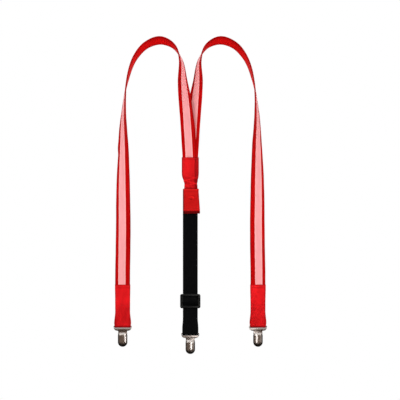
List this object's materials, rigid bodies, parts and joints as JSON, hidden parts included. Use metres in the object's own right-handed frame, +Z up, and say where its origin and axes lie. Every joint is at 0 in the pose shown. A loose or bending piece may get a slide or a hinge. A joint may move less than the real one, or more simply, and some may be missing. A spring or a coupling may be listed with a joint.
{
  "type": "light-up suspenders",
  "caption": "Y-back suspenders: red satin straps with translucent light windows, battery pouch, black elastic back strap with slide adjuster, and nickel lever clips.",
  "frame": {"origin": "on the mid-plane and mid-depth of the hanging set, level with the tip of the back clip", "axes": "+Z up, -Y towards the side that the strap faces look to, +X across"},
  "size_m": [0.256, 0.0269, 0.5313],
  "materials": {
    "satin": "red satin weave with a soft sheen",
    "sheer_tape": "sheer pink tape, lighter along its sewn edges",
    "light_guide": "milky flexible light guide",
    "elastic": "black ribbed elastic webbing",
    "black_plastic": "black moulded plastic, satin",
    "circuit_board": "green coated board",
    "cable": "red insulated two-core cable",
    "steel": "plain steel",
    "nickel": "polished nickel",
    "grip_pad": "white moulded nylon"
  },
  "bodies": {
    "root": {"left_strap_web": "satin", "left_light_guide": "light_guide", "left_window_tape": "sheer_tape", "left_end_sleeve": "satin", "left_led_module": "circuit_board", "left_led_cable": "cable", "right_strap_web": "satin", "right_light_guide": "light_guide", "right_window_tape": "sheer_tape", "right_end_sleeve": "satin", "right_led_module": "circuit_board", "right_led_cable": "cable", "junction_sleeve": "satin", "battery_pouch": "satin", "battery_case": "black_plastic", "battery_cover": "black_plastic", "cover_screw": "steel", "coin_cell_rear": "steel", "coin_cell_front": "steel", "contact_plate": "steel", "contact_spring": "steel", "circuit_board": "circuit_board", "back_strap_upper": "elastic"},
    "mode_button": {"mode_button": "black_plastic"},
    "stretched_strap": {"back_strap_middle": "elastic"},
    "strap_adjuster": {"strap_adjuster": "black_plastic", "back_strap_wrap": "elastic"},
    "back_clip_hanger": {"back_strap_loop": "elastic"},
    "left_clip": {"left_clip_frame": "nickel", "left_clip_pin": "steel", "left_clip_pad": "grip_pad"},
    "left_clip_lever": {"left_clip_lever": "nickel"},
    "left_clip_jaw": {"left_clip_jaw": "nickel"},
    "right_clip": {"right_clip_frame": "nickel", "right_clip_pin": "steel", "right_clip_pad": "grip_pad"},
    "right_clip_lever": {"right_clip_lever": "nickel"},
    "right_clip_jaw": {"right_clip_jaw": "nickel"},
    "back_clip": {"back_clip_frame": "nickel", "back_clip_pin": "steel", "back_clip_pad": "grip_pad"},
    "back_clip_lever": {"back_clip_lever": "nickel"},
    "back_clip_jaw": {"back_clip_jaw": "nickel"}
  },
  "joints": [
    {"name": "back_strap_stretch", "type": "slide", "parent": "root", "child": "stretched_strap", "axis": [0, 0, -1], "range_m": [0, 0.035], "deforming": ["back_strap_upper"]},
    {"name": "adjuster_slide", "type": "slide", "parent": "stretched_strap", "child": "strap_adjuster", "axis": [0, 0, -1], "range_m": [-0.056, 0.05], "deforming": ["back_strap_middle"]},
    {"name": "back_clip_reach", "type": "slide", "parent": "strap_adjuster", "child": "back_clip_hanger", "axis": [0, 0, -1], "range_m": [-0.025, 0.028], "deforming": ["back_strap_loop"]},
    {"name": "mode_button_press", "type": "slide", "parent": "root", "child": "mode_button", "axis": [0, 1, 0], "range_m": [0, 0.0005]},
    {"name": "left_clip_swing", "type": "hinge", "parent": "root", "child": "left_clip", "pos_m": [-0.113, 0, 0.0464], "axis": [1, 0, 0], "range_deg": [-75, 75]},
    {"name": "left_lever_open", "type": "hinge", "parent": "left_clip", "child": "left_clip_lever", "pos_m": [-0.113, -0.0034, 0.0339], "axis": [-1, 0, 0], "range_deg": [0, 110]},
    {"name": "left_jaw_open", "type": "hinge", "parent": "left_clip", "child": "left_clip_jaw", "pos_m": [-0.113, -0.0034, 0.0339], "axis": [-1, 0, 0], "range_deg": [0, 12]},
    {"name": "right_clip_swing", "type": "hinge", "parent": "root", "child": "right_clip", "pos_m": [0.113, 0, 0.0464], "axis": [1, 0, 0], "range_deg": [-75, 75]},
    {"name": "right_lever_open", "type": "hinge", "parent": "right_clip", "child": "right_clip_lever", "pos_m": [0.113, -0.0034, 0.0339], "axis": [-1, 0, 0], "range_deg": [0, 110]},
    {"name": "right_jaw_open", "type": "hinge", "parent": "right_clip", "child": "right_clip_jaw", "pos_m": [0.113, -0.0034, 0.0339], "axis": [-1, 0, 0], "range_deg": [0, 12]},
    {"name": "back_clip_swing", "type": "hinge", "parent": "back_clip_hanger", "child": "back_clip", "pos_m": [0, 0.003, 0.0343], "axis": [1, 0, 0], "range_deg": [-75, 75]},
    {"name": "back_lever_open", "type": "hinge", "parent": "back_clip", "child": "back_clip_lever", "pos_m": [0, -0.0004, 0.0218], "axis": [-1, 0, 0], "range_deg": [0, 110]},
    {"name": "back_jaw_open", "type": "hinge", "parent": "back_clip", "child": "back_clip_jaw", "pos_m": [0, -0.0004, 0.0218], "axis": [-1, 0, 0], "range_deg": [0, 12]}
  ],
  "couplings": [
    {"joint": "back_clip_reach", "follows": "adjuster_slide", "ratio": -0.5},
    {"joint": "left_jaw_open", "follows": "left_lever_open", "ratio": 0.109},
    {"joint": "right_jaw_open", "follows": "right_lever_open", "ratio": 0.109},
    {"joint": "back_jaw_open", "follows": "back_lever_open", "ratio": 0.109}
  ]
}
